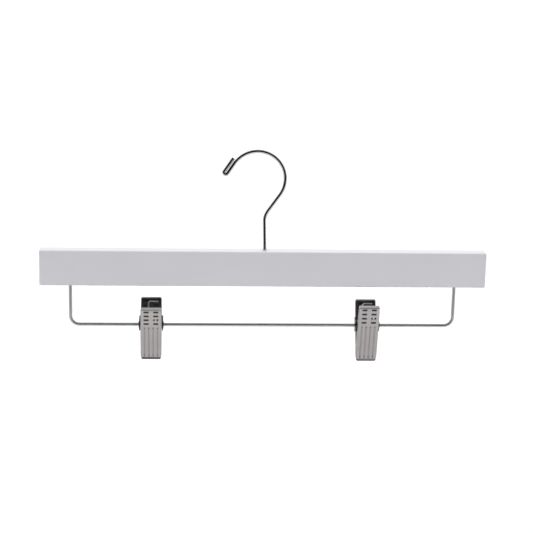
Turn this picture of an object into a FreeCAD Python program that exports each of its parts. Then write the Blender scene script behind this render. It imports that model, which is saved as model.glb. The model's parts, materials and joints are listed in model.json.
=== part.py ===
# Skirt hanger: a flat wooden bar on a swivel wire hook, with two sprung clips on a wire rod below it.
# Millimetres and degrees. +X runs along the bar to the right, -Y faces the front, +Z is up.
# The origin is on the swivel axis where it meets the inside of the hook, where the hanger hangs on a rail.
import FreeCAD, Part
import math
import os

# Wooden bar
bar_length = 355.6
bar_height = 28.4
bar_thickness = 12.0
bar_edge_radius = 0.9

# Swivel hook, bent from one wire: radii are those of its centreline
hook_wire_diameter = 2.8
hook_bend_radius = 21.9
hook_centre_rise = 57.4
hook_centre_offset = 6.8
hook_neck_angle = 35.3
hook_neck_radius = 15.0
hook_lean_angle = 1.8
hook_lean_rise = 2.0
hook_lean_radius = 40.0
hook_tip_angle = 33.9
hook_tip_run = 9.9
hook_return_run = 12.9
hook_fold_gap = 0.3
hook_end_radius = 0.5

# Swivel seat in the underside of the bar: the washer carries the bar on the head of the hook
swivel_clearance = 0.08
seat_depth = 10.0
seat_clearance = 0.3
washer_overhang = 1.2
washer_thickness = 0.8
washer_clearance = 0.1
head_overhang = 0.9
head_thickness = 1.6
head_edge_radius = 0.6
head_gap = 0.05

# Clip rod, one wire bent to a wide U
rod_wire_diameter = 2.8
rod_inset = 24.0
rod_drop = 33.2
rod_bend_radius = 7.0
rod_socket_depth = 15.0
rod_socket_clearance = 0.02
rod_end_gap = 0.3

# Clips: how far they stand in from the legs of the rod, and how far they have swung on it
left_clip_inset = 64.0
left_clip_swing = 5.1
right_clip_inset = 69.7
right_clip_swing = -2.7

# Jaws, pressed from sheet: spreads are over the outer faces of the closed pair
sheet_thickness = 0.8
lever_spread = 30.0
lever_rise = 17.5
tip_spread = 4.0
jaw_reach = 29.2
jaw_width = 16.9
lever_top_width = 16.5
jaw_low_width = 16.7
jaw_low_height = 3.8
tip_width = 15.4
outline_radius = 4.0
lip_length = 2.8
lip_angle = 75.0
toe_length = 1.6
toe_angle = 60.0
plate_bend_radius = 1.5
side_bend_radius = 1.2
least_bend_share = 0.2
lever_flange_depth = 3.5
jaw_flange_depth = 4.9
rim_gap = 0.2
flange_corner_radius = 1.2

# Ears that carry the pivot: the back pair laps outside the front pair
inner_ear_radius = 3.9
outer_ear_radius = 5.0
ear_rise = 6.5
ear_drop = 5.5
ear_side_gap = 0.35
ear_joggle_gap = 0.3
ear_joggle_run = 1.8

# Pivot tube, a hollow rivet that slides on the rod
tube_bore_clearance = 0.08
tube_wall = 0.5
tube_ear_clearance = 0.06
tube_flange_width = 0.9
tube_flange_thickness = 0.4
tube_flange_gap = 0.1

# Grip slots pressed blind into the levers; one in each front lever is pierced and takes the end of the spring
grip_rows = 4
grip_row_pitch = 3.75
grip_first_row = 2.1
grip_column_spacing = 7.6
grip_length = 4.0
grip_width = 1.7
grip_depth = 0.45
grip_wall = 0.6
spring_slot_row = 2
spring_slot_length = 4.1
spring_slot_width = 1.9

# Grooves pressed into the jaws
groove_count = 4
groove_pitch = 3.45
groove_width = 1.5
groove_depth = 0.35
groove_lead = 3.65
groove_tail = 3.25

# Cushions inside the jaw tips
pad_width = 11.0
pad_length = 10.5
pad_toe_gap = 1.6
pad_gap = 0.1
pad_corner_radius = 0.5
pad_rib_count = 5
pad_rib_pitch = 1.9
pad_rib_width = 0.7
pad_rib_depth = 0.35

# Torsion spring wound round the pivot tube
spring_wire_diameter = 1.2
spring_tube_clearance = 0.35
spring_full_turns = 3
spring_turn_gap = 0.8
spring_quarter = 90.0
spring_leg_gap = 0.5
spring_leg_drop = 2.3
spring_foot_run = 8.0
spring_bend_radius = 1.6
spring_points_per_edge = 12

# One overrun serves every cut
overrun = 4.0

# Places worked out from the values above
hook_wire_radius = hook_wire_diameter / 2
rod_wire_radius = rod_wire_diameter / 2
rod_span = bar_length - 2 * rod_inset
rail_seat_rise = hook_centre_rise + math.sqrt(
    (hook_bend_radius - hook_wire_radius) ** 2 - hook_centre_offset ** 2
)
bar_top = -rail_seat_rise
bar_bottom = bar_top - bar_height
rod_level = bar_bottom - rod_drop
seat_top = bar_bottom + seat_depth
head_radius = hook_wire_radius + head_overhang
washer_radius = head_radius + washer_overhang
washer_bottom = seat_top - washer_thickness
tube_bore_radius = rod_wire_radius + tube_bore_clearance
tube_radius = tube_bore_radius + tube_wall
ear_hole_radius = tube_radius + tube_ear_clearance
ear_width = jaw_width + 2 * (ear_side_gap + sheet_thickness)
spring_wire_radius = spring_wire_diameter / 2
spring_coil_radius = tube_radius + spring_tube_clearance + spring_wire_radius

X_AXIS = FreeCAD.Vector(1, 0, 0)
Y_AXIS = FreeCAD.Vector(0, 1, 0)
Z_AXIS = FreeCAD.Vector(0, 0, 1)


def front_view(x, z):
    """A point of the mid-plane, as seen from the front."""
    return FreeCAD.Vector(x, 0, z)


def side_view(y, z):
    """A point of a clip's own cross-section, with its pivot at zero."""
    return FreeCAD.Vector(0, y, z)


def unit(vector):
    """The vector at length one."""
    return vector / vector.Length


def arc_from(start, tangent, end):
    """The circular arc that leaves start along tangent and reaches end, in less than half a circle."""
    chord = end - start
    across = chord - tangent * chord.dot(tangent)
    across = unit(across)
    radius = chord.dot(chord) / (2 * chord.dot(across))
    centre = start + across * radius
    middle = centre + unit((start + end) / 2 - centre) * radius
    return Part.Arc(start, middle, end).toShape()


def rounded_path(points, radii):
    """Straight runs through the points, with a tangent arc of the given radius at each inner point."""
    edges = []
    last = points[0]
    for before, corner, after, radius in zip(points, points[1:], points[2:], radii):
        along_in = unit(corner - before)
        along_out = unit(after - corner)
        half_turn = along_in.getAngle(along_out) / 2
        setback = radius * math.tan(half_turn)
        arc_start = corner - along_in * setback
        arc_end = corner + along_out * setback
        edges.append(Part.LineSegment(last, arc_start).toShape())
        edges.append(arc_from(arc_start, along_in, arc_end))
        last = arc_end
    edges.append(Part.LineSegment(last, points[-1]).toShape())
    return edges


def wire_along(edges, diameter):
    """A round wire of the given diameter along joined edges."""
    path = Part.Wire(edges)
    first = edges[0]
    start = first.valueAt(first.FirstParameter)
    heading = first.tangentAt(first.FirstParameter)
    section = Part.Face(Part.Wire(Part.makeCircle(diameter / 2, start, heading)))
    return path.makePipe(section)


def disc(radius, thickness, base, axis):
    """A cylinder that stands on base along axis."""
    return Part.makeCylinder(radius, thickness, base, axis)


def make_hook():
    """Shank, leaning neck, large arc, tip and folded-back end in one wire, with a formed head below."""
    neck = math.radians(hook_neck_angle)
    lean = math.radians(hook_lean_angle)
    tip = math.radians(hook_tip_angle)
    centre = front_view(-hook_centre_offset, bar_top + hook_centre_rise)
    head_top = washer_bottom - head_gap
    shank_foot = front_view(0, head_top)
    lean_point = front_view(0, bar_top + hook_lean_rise)
    arc_start = centre + front_view(math.cos(neck), -math.sin(neck)) * hook_bend_radius
    neck_heading = front_view(math.sin(neck), math.cos(neck))
    lean_heading = front_view(-math.sin(lean), math.cos(lean))
    # The leaning shank and the sloping neck meet where both lines have the same sideways distance.
    away = arc_start - lean_point
    neck_run = (away.x * lean_heading.z - away.z * lean_heading.x) / math.sin(neck + lean)
    neck_point = arc_start - neck_heading * neck_run
    edges = rounded_path(
        [shank_foot, lean_point, neck_point, arc_start],
        [hook_lean_radius, hook_neck_radius],
    )
    arc_top = centre + front_view(0, hook_bend_radius)
    arc_end = centre + front_view(-math.cos(tip), math.sin(tip)) * hook_bend_radius
    edges.append(Part.Arc(arc_start, arc_top, arc_end).toShape())
    tip_heading = front_view(-math.sin(tip), -math.cos(tip))
    outwards = front_view(-math.cos(tip), math.sin(tip))
    fold_radius = hook_wire_radius + hook_fold_gap / 2
    fold_start = arc_end + tip_heading * hook_tip_run
    fold_middle = fold_start + (outwards + tip_heading) * fold_radius
    fold_end = fold_start + outwards * (2 * fold_radius)
    free_end = fold_end - tip_heading * hook_return_run
    edges.append(Part.LineSegment(arc_end, fold_start).toShape())
    edges.append(Part.Arc(fold_start, fold_middle, fold_end).toShape())
    edges.append(Part.LineSegment(fold_end, free_end).toShape())
    wire = wire_along(edges, hook_wire_diameter)
    end_rim = [e for e in wire.Edges if (e.CenterOfMass - free_end).Length < hook_end_radius]
    wire = wire.makeFillet(hook_end_radius, end_rim)
    head = disc(head_radius, head_thickness, shank_foot, -Z_AXIS)
    foot = shank_foot - Z_AXIS * head_thickness
    head_rim = [e for e in head.Edges if e.Closed and abs(e.CenterOfMass.z - foot.z) < head_edge_radius]
    head = head.makeFillet(head_edge_radius, head_rim)
    return wire.fuse(head).removeSplitter()


def make_bar():
    """A straight board with all its edges rounded, bored for the hook and for both ends of the rod."""
    corner = FreeCAD.Vector(-bar_length / 2, -bar_thickness / 2, bar_bottom)
    board = Part.makeBox(bar_length, bar_thickness, bar_height, corner)
    board = board.makeFillet(bar_edge_radius, board.Edges)
    bore_foot = front_view(0, bar_bottom - overrun)
    bore = disc(hook_wire_radius + swivel_clearance, bar_height + 2 * overrun, bore_foot, Z_AXIS)
    seat = disc(washer_radius + seat_clearance, seat_depth + overrun, bore_foot, Z_AXIS)
    board = board.cut(bore).cut(seat)
    for side in (-1, 1):
        socket_foot = front_view(side * rod_span / 2, bar_bottom - overrun)
        socket_radius = rod_wire_radius + rod_socket_clearance
        socket = disc(socket_radius, rod_socket_depth + overrun, socket_foot, Z_AXIS)
        board = board.cut(socket)
    return board


def make_washer():
    """The flat washer between the seat in the bar and the head of the hook."""
    base = front_view(0, washer_bottom)
    ring = disc(washer_radius, washer_thickness, base, Z_AXIS)
    return ring.cut(disc(hook_wire_radius + washer_clearance, washer_thickness, base, Z_AXIS))


def make_rod():
    """The U-shaped wire that the clips slide on, with its ends in the bar."""
    half = rod_span / 2
    leg_top = bar_bottom + rod_socket_depth - rod_end_gap
    points = [
        front_view(-half, leg_top),
        front_view(-half, rod_level),
        front_view(half, rod_level),
        front_view(half, leg_top),
    ]
    return wire_along(rounded_path(points, [rod_bend_radius] * 2), rod_wire_diameter)


# Cross-section of the front jaw, in the clip's own frame: the plate runs straight from lip to tip.
lip_corner = side_view(-lever_spread / 2, lever_rise)
tip_corner = side_view(-tip_spread / 2, -jaw_reach)
plate_run = (tip_corner - lip_corner).Length
down_plate = unit(tip_corner - lip_corner)
into_clip = side_view(-down_plate.z, down_plate.y)
lip_turn = math.radians(lip_angle)
toe_turn = math.radians(toe_angle)
lip_heading = into_clip * math.sin(lip_turn) - down_plate * math.cos(lip_turn)
toe_heading = into_clip * math.sin(toe_turn) + down_plate * math.cos(toe_turn)
lip_inward = into_clip * math.cos(lip_turn) + down_plate * math.sin(lip_turn)
toe_inward = into_clip * math.cos(toe_turn) - down_plate * math.sin(toe_turn)


def on_plate(run, depth):
    """The point a run down the plate from the lip bend and a depth in from its outer face."""
    return lip_corner + down_plate * run + into_clip * depth


def plate_at_height(z, depth):
    """The point at a height z and a depth in from the outer face of the plate."""
    start = on_plate(0, depth)
    return start + down_plate * ((z - start.z) / down_plate.z)


def across_clip(side_face):
    """A side outline carried across the whole width of the clip."""
    wide = ear_width + overrun
    slab = side_face.copy()
    slab.translate(X_AXIS * (-wide / 2))
    return slab.extrude(X_AXIS * wide)


def sheet_path(depth, extra):
    """The bent line of lip, plate and toe at a depth from the outer face, longer by extra at its ends."""
    lip_miter = (into_clip + lip_inward) * (depth / (1 + math.cos(lip_turn)))
    toe_miter = (into_clip + toe_inward) * (depth / (1 + math.cos(toe_turn)))
    points = [
        lip_corner + lip_heading * (lip_length + extra) + lip_inward * depth,
        lip_corner + lip_miter,
        tip_corner + toe_miter,
        tip_corner + toe_heading * (toe_length + extra) + toe_inward * depth,
    ]
    bend = max(plate_bend_radius - depth, plate_bend_radius * least_bend_share)
    return rounded_path(points, [bend, bend])


def ear_tangent(point, radius, turn):
    """Where the straight side from a point touches the round end of an ear, on the side given by turn."""
    bearing = math.atan2(point.z, point.y)
    spread = math.acos(radius / point.Length)
    angle = bearing + turn * spread
    return side_view(math.cos(angle), math.sin(angle)) * radius


def ear_edges(radius):
    """The free edge of an ear, from the jaw's flange round the pivot to the lever's flange."""
    ear_low = plate_at_height(-ear_drop, jaw_flange_depth)
    ear_high = plate_at_height(ear_rise, lever_flange_depth)
    low_touch = ear_tangent(ear_low, radius, 1)
    high_touch = ear_tangent(ear_high, radius, -1)
    return [
        Part.LineSegment(ear_low, low_touch).toShape(),
        Part.Arc(low_touch, side_view(radius, 0), high_touch).toShape(),
        Part.LineSegment(high_touch, ear_high).toShape(),
    ]


def jaw_side_face(with_ear):
    """The side of the front jaw: sheet line outside, then rim, flange and ear back to the lip."""
    rim = -rim_gap / 2
    toe_end = tip_corner + toe_heading * toe_length
    lip_end = lip_corner + lip_heading * lip_length
    lip_inside = lip_end + lip_inward * sheet_thickness
    rim_foot = side_view(rim, tip_corner.z + plate_bend_radius)
    flange_line = on_plate(0, jaw_flange_depth)
    rim_top = flange_line + down_plate * ((rim - flange_line.y) / down_plate.y)
    ear_low = plate_at_height(-ear_drop, jaw_flange_depth)
    ear_high = plate_at_height(ear_rise, lever_flange_depth)
    edges = sheet_path(0, 0)
    edges += rounded_path([toe_end, rim_foot, rim_top, ear_low], [flange_corner_radius] * 2)
    if with_ear:
        edges += ear_edges(inner_ear_radius)
    else:
        edges.append(Part.LineSegment(ear_low, ear_high).toShape())
    edges.append(Part.LineSegment(ear_high, lip_inside).toShape())
    edges.append(Part.LineSegment(lip_inside, lip_end).toShape())
    return Part.Face(Part.Wire(edges))


def ear_side_face():
    """The side of a joggled ear, from its root in the flange to its round end."""
    root_high = plate_at_height(ear_rise, side_bend_radius)
    root_low = plate_at_height(-ear_drop, side_bend_radius)
    ear_low = plate_at_height(-ear_drop, jaw_flange_depth)
    ear_high = plate_at_height(ear_rise, lever_flange_depth)
    edges = ear_edges(outer_ear_radius)
    edges.append(Part.LineSegment(ear_high, root_high).toShape())
    edges.append(Part.LineSegment(root_high, root_low).toShape())
    edges.append(Part.LineSegment(root_low, ear_low).toShape())
    return Part.Face(Part.Wire(edges))


def make_joggled_ears():
    """Both outer ears: sheet that leaves the flange and steps outwards to pass outside the inner ears."""
    step = ear_side_gap + sheet_thickness
    joggle_end = -inner_ear_radius - ear_joggle_gap
    joggle_start = joggle_end - ear_joggle_run
    flange_face = jaw_width / 2
    outer_line = [
        FreeCAD.Vector(flange_face, -lever_spread, 0),
        FreeCAD.Vector(flange_face, joggle_start, 0),
        FreeCAD.Vector(flange_face + step, joggle_end, 0),
        FreeCAD.Vector(flange_face + step, lever_spread, 0),
    ]
    inner_line = [point - X_AXIS * sheet_thickness for point in reversed(outer_line)]
    plan = Part.Face(Part.makePolygon(outer_line + inner_line + outer_line[:1]))
    plan.translate(Z_AXIS * -lever_spread)
    right_ear = plan.extrude(Z_AXIS * (2 * lever_spread)).common(across_clip(ear_side_face()))
    left_ear = right_ear.mirror(FreeCAD.Vector(), X_AXIS)
    return right_ear.fuse(left_ear)


def sheet_side_face(depth):
    """All that lies inside the sheet line at a depth, closed well past the pivot."""
    edges = sheet_path(depth, lever_spread)
    ends = Part.Wire(edges).OrderedVertexes
    edges.append(Part.LineSegment(ends[-1].Point, ends[0].Point).toShape())
    return Part.Face(Part.Wire(edges))


def jaw_front_face(inset):
    """The outline of a jaw from the front, inset all round, and carried on past lip and toe."""
    places = [
        (lever_top_width, lever_rise + 2 * lever_spread),
        (lever_top_width, lever_rise),
        (jaw_width, 0),
        (jaw_low_width, jaw_low_height - jaw_reach),
        (tip_width, -jaw_reach),
        (tip_width, -jaw_reach - 2 * lever_spread),
    ]
    right = [front_view(width / 2 - inset, z) for width, z in places]
    left = [front_view(-point.x, point.z) for point in reversed(right)]
    radii = [outline_radius] * (len(places) - 2)
    edges = rounded_path(right, radii)
    edges.append(Part.LineSegment(right[-1], left[0]).toShape())
    edges += rounded_path(left, radii)
    edges.append(Part.LineSegment(left[-1], right[0]).toShape())
    return Part.Face(Part.Wire(edges))


def pressed_block(depth):
    """Everything inside the jaw's sheet at a depth from its outer face, with its long edges rounded."""
    deep = 4 * lever_spread
    outline = jaw_front_face(depth)
    outline.translate(Y_AXIS * (-deep / 2))
    block = across_clip(sheet_side_face(depth)).common(outline.extrude(Y_AXIS * deep)).Solids[0]
    sheet_line = across_clip(Part.Wire(sheet_path(depth, lever_spread)))
    near = sheet_thickness * least_bend_share
    long_edges = []
    for edge in block.Edges:
        middle = edge.valueAt(sum(edge.ParameterRange) / 2)
        if abs(middle.x) > tip_width / 4 and sheet_line.distToShape(Part.Vertex(middle))[0] < near:
            long_edges.append(edge)
    bend = max(side_bend_radius - depth, side_bend_radius * least_bend_share)
    return block.makeFillet(bend, long_edges)


def capsule(start, end, radius):
    """A round bar between two points with ball ends."""
    bar = Part.makeCylinder(radius, (end - start).Length, start, end - start)
    return bar.fuse(Part.makeSphere(radius, start)).fuse(Part.makeSphere(radius, end))


def press_radius(width, depth):
    """The radius of a round tool that leaves a groove of this width and depth."""
    return (width ** 2 / 4 + depth ** 2) / (2 * depth)


def grip_places():
    """Row number and centre on the outer face of each grip slot, with its side."""
    for row in range(grip_rows):
        for side in (-1, 1):
            centre = on_plate(grip_first_row + row * grip_row_pitch, 0)
            yield row, side, centre + X_AXIS * (side * grip_column_spacing / 2)


def lay_on_plate(shape, point):
    """A shape made about zero, laid at a point so that its axes run across, down and into the plate."""
    laid = shape.copy()
    turn = FreeCAD.Rotation(X_AXIS, down_plate, into_clip, "XYZ")
    laid.Placement = FreeCAD.Placement(point, turn).multiply(laid.Placement)
    return laid


def pierce_slot(jaw, centre, length, width):
    """A long hole with round ends, right through the lever."""
    radius = width / 2
    reach = length / 2 - radius
    corner = FreeCAD.Vector(-reach, -radius, -overrun)
    slot = Part.makeBox(2 * reach, width, 2 * overrun, corner)
    for end in (-reach, reach):
        slot = slot.fuse(disc(radius, 2 * overrun, FreeCAD.Vector(end, 0, -overrun), Z_AXIS))
    return jaw.cut(lay_on_plate(slot, centre))


def press_slot(jaw, centre):
    """A blind slot pressed into the lever with a round tool, proud on the inside."""
    radius = press_radius(grip_width, grip_depth)
    tool_centre = centre - into_clip * (radius - grip_depth)
    half = X_AXIS * ((grip_length - grip_width) / 2)
    corner = FreeCAD.Vector(-grip_length, -grip_length, 0)
    inside = Part.makeBox(2 * grip_length, 2 * grip_length, grip_length, corner)
    inside = lay_on_plate(inside, centre + into_clip * (sheet_thickness / 2))
    swell = capsule(tool_centre - half, tool_centre + half, radius + grip_wall).common(inside)
    return jaw.fuse(swell).cut(capsule(tool_centre - half, tool_centre + half, radius))


def form_grips(jaw, takes_spring):
    """All the grip slots of a lever: blind, but for a pierced one that takes the end of the spring."""
    for row, side, centre in grip_places():
        if takes_spring and row == spring_slot_row and side > 0:
            jaw = pierce_slot(jaw, centre, spring_slot_length, spring_slot_width)
        else:
            jaw = press_slot(jaw, centre)
    return jaw


def press_grooves(jaw):
    """Straight grooves down the outside of the jaw, with round ends."""
    radius = press_radius(groove_width, groove_depth)
    lift = radius - groove_depth
    groove_start = grip_first_row + (grip_rows - 1) * grip_row_pitch + groove_lead
    groove_end = plate_run - groove_tail
    for index in range(groove_count):
        across = X_AXIS * ((index - (groove_count - 1) / 2) * groove_pitch)
        start = on_plate(groove_start, -lift) + across
        end = on_plate(groove_end, -lift) + across
        jaw = jaw.cut(capsule(start, end, radius))
    return jaw


def make_jaw(outer_ears):
    """A jaw in the front position: a tray of bent sheet with lip, toe, side flanges and pierced ears."""
    side = across_clip(jaw_side_face(with_ear=not outer_ears))
    jaw = pressed_block(0).common(side).cut(pressed_block(sheet_thickness))
    if outer_ears:
        jaw = jaw.fuse(make_joggled_ears())
    jaw = jaw.cut(disc(ear_hole_radius, 2 * ear_width, X_AXIS * -ear_width, X_AXIS))
    jaw = form_grips(jaw, takes_spring=not outer_ears)
    return press_grooves(jaw).removeSplitter()


def make_pad():
    """The cushion of the front jaw: a wedge from the plate to the closing face, ribbed across."""
    foot = on_plate(plate_run - pad_toe_gap, sheet_thickness)
    top = on_plate(plate_run - pad_toe_gap - pad_length, sheet_thickness)
    face = -pad_gap / 2
    corners = [top, foot, side_view(face, foot.z), side_view(face, top.z)]
    section = Part.Face(Part.makePolygon(corners + [top]))
    section.translate(X_AXIS * (-pad_width / 2))
    pad = section.extrude(X_AXIS * pad_width)
    corner_edges = []
    for edge in pad.Edges:
        span = edge.Vertexes[1].Point - edge.Vertexes[0].Point
        if max(abs(span.x), abs(span.z)) < pad_corner_radius:
            corner_edges.append(edge)
    pad = pad.makeFillet(pad_corner_radius, corner_edges)
    middle_height = (foot.z + top.z) / 2
    for index in range(pad_rib_count):
        height = middle_height + (index - (pad_rib_count - 1) / 2) * pad_rib_pitch
        groove = Part.makeBox(2 * pad_width, pad_rib_depth + overrun, pad_rib_width)
        groove.translate(FreeCAD.Vector(-pad_width, face - pad_rib_depth, height - pad_rib_width / 2))
        pad = pad.cut(groove)
    return pad


def make_tube():
    """The hollow rivet through both pairs of ears, flanged over outside them."""
    half_grip = ear_width / 2 + tube_flange_gap
    half_length = half_grip + tube_flange_thickness
    tube = disc(tube_radius, 2 * half_length, X_AXIS * -half_length, X_AXIS)
    flange_radius = tube_radius + tube_flange_width
    for start in (-half_length, half_grip):
        tube = tube.fuse(disc(flange_radius, tube_flange_thickness, X_AXIS * start, X_AXIS))
    return tube.cut(disc(tube_bore_radius, 2 * half_length, X_AXIS * -half_length, X_AXIS))


def leg_tangent(point, turn):
    """The bearing at which a straight leg from a point touches the coil's centreline."""
    spread = math.acos(spring_coil_radius / point.Length)
    return math.atan2(point.z, point.y) + turn * spread


def spring_edges():
    """Front leg, coil and back leg of the torsion spring, as runs and arcs in one line."""
    slot_row = on_plate(grip_first_row + spring_slot_row * grip_row_pitch, 0)
    leg_depth = sheet_thickness + spring_leg_gap + spring_wire_radius
    front_corner = slot_row + into_clip * (leg_depth + spring_bend_radius)
    right_place = grip_column_spacing / 2
    back_corner = plate_at_height(lever_rise - spring_leg_drop, leg_depth)
    back_corner = side_view(-back_corner.y, back_corner.z)
    begin = leg_tangent(front_corner, 1)
    finish = leg_tangent(back_corner, -1)
    while finish < begin:
        finish += 2 * math.pi
    finish += spring_full_turns * 2 * math.pi
    total = finish - begin
    ease = math.radians(spring_quarter)
    rate = -(spring_wire_diameter + spring_turn_gap) / (2 * math.pi)
    shift = rate * (total - ease)

    def coil_point(turned):
        """The coil moves along the tube at a steady rate, eased in and out over a quarter turn."""
        if turned < ease:
            place = rate * turned ** 2 / (2 * ease)
            slope = rate * turned / ease
        elif turned > total - ease:
            left = total - turned
            place = shift - rate * left ** 2 / (2 * ease)
            slope = rate * left / ease
        else:
            place = rate * (turned - ease / 2)
            slope = rate
        angle = begin + turned
        point = side_view(math.cos(angle), math.sin(angle)) * spring_coil_radius
        heading = side_view(-math.sin(angle), math.cos(angle)) * spring_coil_radius
        return point + X_AXIS * (right_place + place), unit(heading + X_AXIS * slope)

    along = X_AXIS * right_place
    coil_start = coil_point(0)[0]
    edges = rounded_path([slot_row + along, front_corner + along, coil_start], [spring_bend_radius])
    steps = math.ceil(total / ease)
    knots = [coil_point(total * index / steps) for index in range(steps + 1)]
    for (start, heading_in), (end, heading_out) in zip(knots, knots[1:]):
        edges += biarc(start, heading_in, end, heading_out)
    back = X_AXIS * (right_place + shift)
    foot_end = back_corner + back + X_AXIS * spring_foot_run
    edges += rounded_path([knots[-1][0], back_corner + back, foot_end], [spring_bend_radius])
    return edges


def biarc(start, heading_in, end, heading_out):
    """Two arcs with a shared tangent that join two points with given headings."""
    chord = end - start
    both = heading_in + heading_out
    bend = 2 * (1 - heading_in.dot(heading_out))
    along = chord.dot(both)
    reach = (math.sqrt(along ** 2 + bend * chord.dot(chord)) - along) / bend
    join = (start + heading_in * reach + end - heading_out * reach) / 2
    first = arc_from(start, heading_in, join)
    second = arc_from(end, -heading_out, join)
    return [first, Part.Arc(join, second.valueAt(sum(second.ParameterRange) / 2), end).toShape()]


def least_gap(edges, diameter):
    """The smallest clear gap between parts of a wire that are more than a half turn apart along it."""
    points = []
    travel = []
    walked = 0
    for edge in edges:
        first, last = edge.ParameterRange
        for index in range(spring_points_per_edge):
            share = index / spring_points_per_edge
            points.append(edge.valueAt(first + (last - first) * share))
            travel.append(walked + edge.Length * share)
        walked += edge.Length
    half_turn = math.pi * spring_coil_radius
    gaps = []
    for index, point in enumerate(points):
        for other in range(index + 1, len(points)):
            if travel[other] - travel[index] > half_turn:
                gaps.append((points[other] - point).Length - diameter)
    return min(gaps)


def make_spring():
    """The torsion spring that holds the jaws shut, one unbroken wire."""
    edges = spring_edges()
    gap = least_gap(edges, spring_wire_diameter)
    print(f"spring: least gap to itself {gap:.2f} mm")
    path = Part.Wire(edges)
    first = edges[0]
    start = first.valueAt(first.FirstParameter)
    heading = first.tangentAt(first.FirstParameter)
    section = Part.Wire(Part.makeCircle(spring_wire_radius, start, heading))
    return path.makePipeShell([section], True, False)


def turned_round(shape):
    """The same piece turned half round, as the back one of a facing pair."""
    back = shape.copy()
    back.rotate(FreeCAD.Vector(), Z_AXIS, 180)
    return back


def make_clip_pieces():
    """All the pieces of one clip in its own frame, by name."""
    pad = make_pad()
    return {
        "front_jaw": make_jaw(outer_ears=False),
        "back_jaw": turned_round(make_jaw(outer_ears=True)),
        "front_pad": pad,
        "back_pad": turned_round(pad),
        "pivot_tube": make_tube(),
        "jaw_spring": make_spring(),
    }


def place_clip(shape, place, swing):
    """A piece of a clip at its place on the rod, swung about it."""
    placed = shape.copy()
    placed.rotate(FreeCAD.Vector(), X_AXIS, swing)
    placed.translate(front_view(place, rod_level))
    return placed


def make_pieces():
    """Every piece of the hanger, by name."""
    pieces = {
        "wooden_bar": make_bar(),
        "swivel_hook": make_hook(),
        "hook_washer": make_washer(),
        "clip_rod": make_rod(),
    }
    clip_places = {
        "left": (left_clip_inset - rod_span / 2, left_clip_swing),
        "right": (rod_span / 2 - right_clip_inset, right_clip_swing),
    }
    for name, shape in make_clip_pieces().items():
        for side, (place, swing) in clip_places.items():
            pieces[f"{side}_{name}"] = place_clip(shape, place, swing)
    return pieces


os.makedirs("parts", exist_ok=True)
for name, shape in make_pieces().items():
    print(f"{name}: valid {shape.isValid()}, {len(shape.Solids)} solid, {shape.Volume:.1f} mm3")
    shape.exportStep(f"parts/{name}.step")
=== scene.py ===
"""Skirt hanger: looks of its white wooden bar, chromed hook and rod, and sprung clips. All in metres."""
import json
import math
import bpy
import numpy as np
from mathutils import Matrix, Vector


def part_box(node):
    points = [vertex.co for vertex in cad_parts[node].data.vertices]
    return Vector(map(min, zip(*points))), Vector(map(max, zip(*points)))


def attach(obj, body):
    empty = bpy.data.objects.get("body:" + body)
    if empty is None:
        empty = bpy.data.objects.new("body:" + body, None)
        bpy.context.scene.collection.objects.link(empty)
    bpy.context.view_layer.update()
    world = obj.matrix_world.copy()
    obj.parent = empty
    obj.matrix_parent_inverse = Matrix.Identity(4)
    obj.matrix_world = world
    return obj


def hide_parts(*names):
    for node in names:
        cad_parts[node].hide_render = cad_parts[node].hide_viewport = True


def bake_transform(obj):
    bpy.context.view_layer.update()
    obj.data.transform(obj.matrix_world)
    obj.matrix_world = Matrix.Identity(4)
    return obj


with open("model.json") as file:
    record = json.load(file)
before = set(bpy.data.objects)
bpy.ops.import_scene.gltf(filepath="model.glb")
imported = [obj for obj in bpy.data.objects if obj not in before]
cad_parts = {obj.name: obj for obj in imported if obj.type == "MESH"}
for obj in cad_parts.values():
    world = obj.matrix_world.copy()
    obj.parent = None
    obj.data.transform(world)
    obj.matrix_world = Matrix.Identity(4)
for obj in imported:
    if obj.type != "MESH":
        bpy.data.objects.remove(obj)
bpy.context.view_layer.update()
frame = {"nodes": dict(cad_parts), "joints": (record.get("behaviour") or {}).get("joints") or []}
nodes = frame["nodes"]
bar_low, bar_high = [np.array(corner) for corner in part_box("wooden_bar")]

# Hook: radii are those of the wire's centreline
hook_wire = 0.0028
hook_bend_radius = 0.0219
hook_centre_rise = 0.0574
hook_centre_offset = 0.0068
hook_neck_angle = math.radians(35.3)
hook_neck_radius = 0.015
hook_lean_angle = math.radians(1.8)
hook_lean_rise = 0.002
hook_lean_radius = 0.040
hook_tip_angle = math.radians(33.9)
hook_tip_run = 0.0099
hook_return_run = 0.0129
hook_fold_gap = 0.0003
hook_end_edge = 0.0005
hook_head_radius = 0.0023
hook_head_height = 0.0016
hook_head_edge = 0.0006
hook_head_step = 0.0001

# Rod
rod_wire = 0.0028
rod_bend_radius = 0.007
rod_end_edge = 0.0003

# Clips
clip_swing = {"left": math.radians(5.1), "right": math.radians(-2.7)}
lever_spread = 0.030
lever_rise = 0.0175
tip_spread = 0.004
jaw_reach = 0.0292
sheet = 0.0008
ear_start = 0.0086
toe_band = 0.0026
lip_edge = 0.0004
side_bend_start = 0.0076
side_bend_end = 0.0083
groove_pitch = 0.00345
groove_width = 0.0015
groove_top = 0.0170
groove_bottom = 0.0450
grip_width = 0.0017
grip_runs = (0.0021, 0.00585, 0.0096, 0.01335)
grip_near = 0.0018
grip_far = 0.0058

# Jaw springs
spring_wire = 0.0012
spring_coil_radius = 0.00293
spring_full_turns = 3
spring_turn_gap = 0.0008
spring_ease = math.pi / 2
spring_slot_run = grip_runs[2]
spring_slot_place = 0.0038
spring_leg_gap = 0.0005
spring_leg_drop = 0.0023
spring_foot_run = 0.008
spring_bend_radius = 0.0016
spring_end_edge = 0.0002

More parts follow.
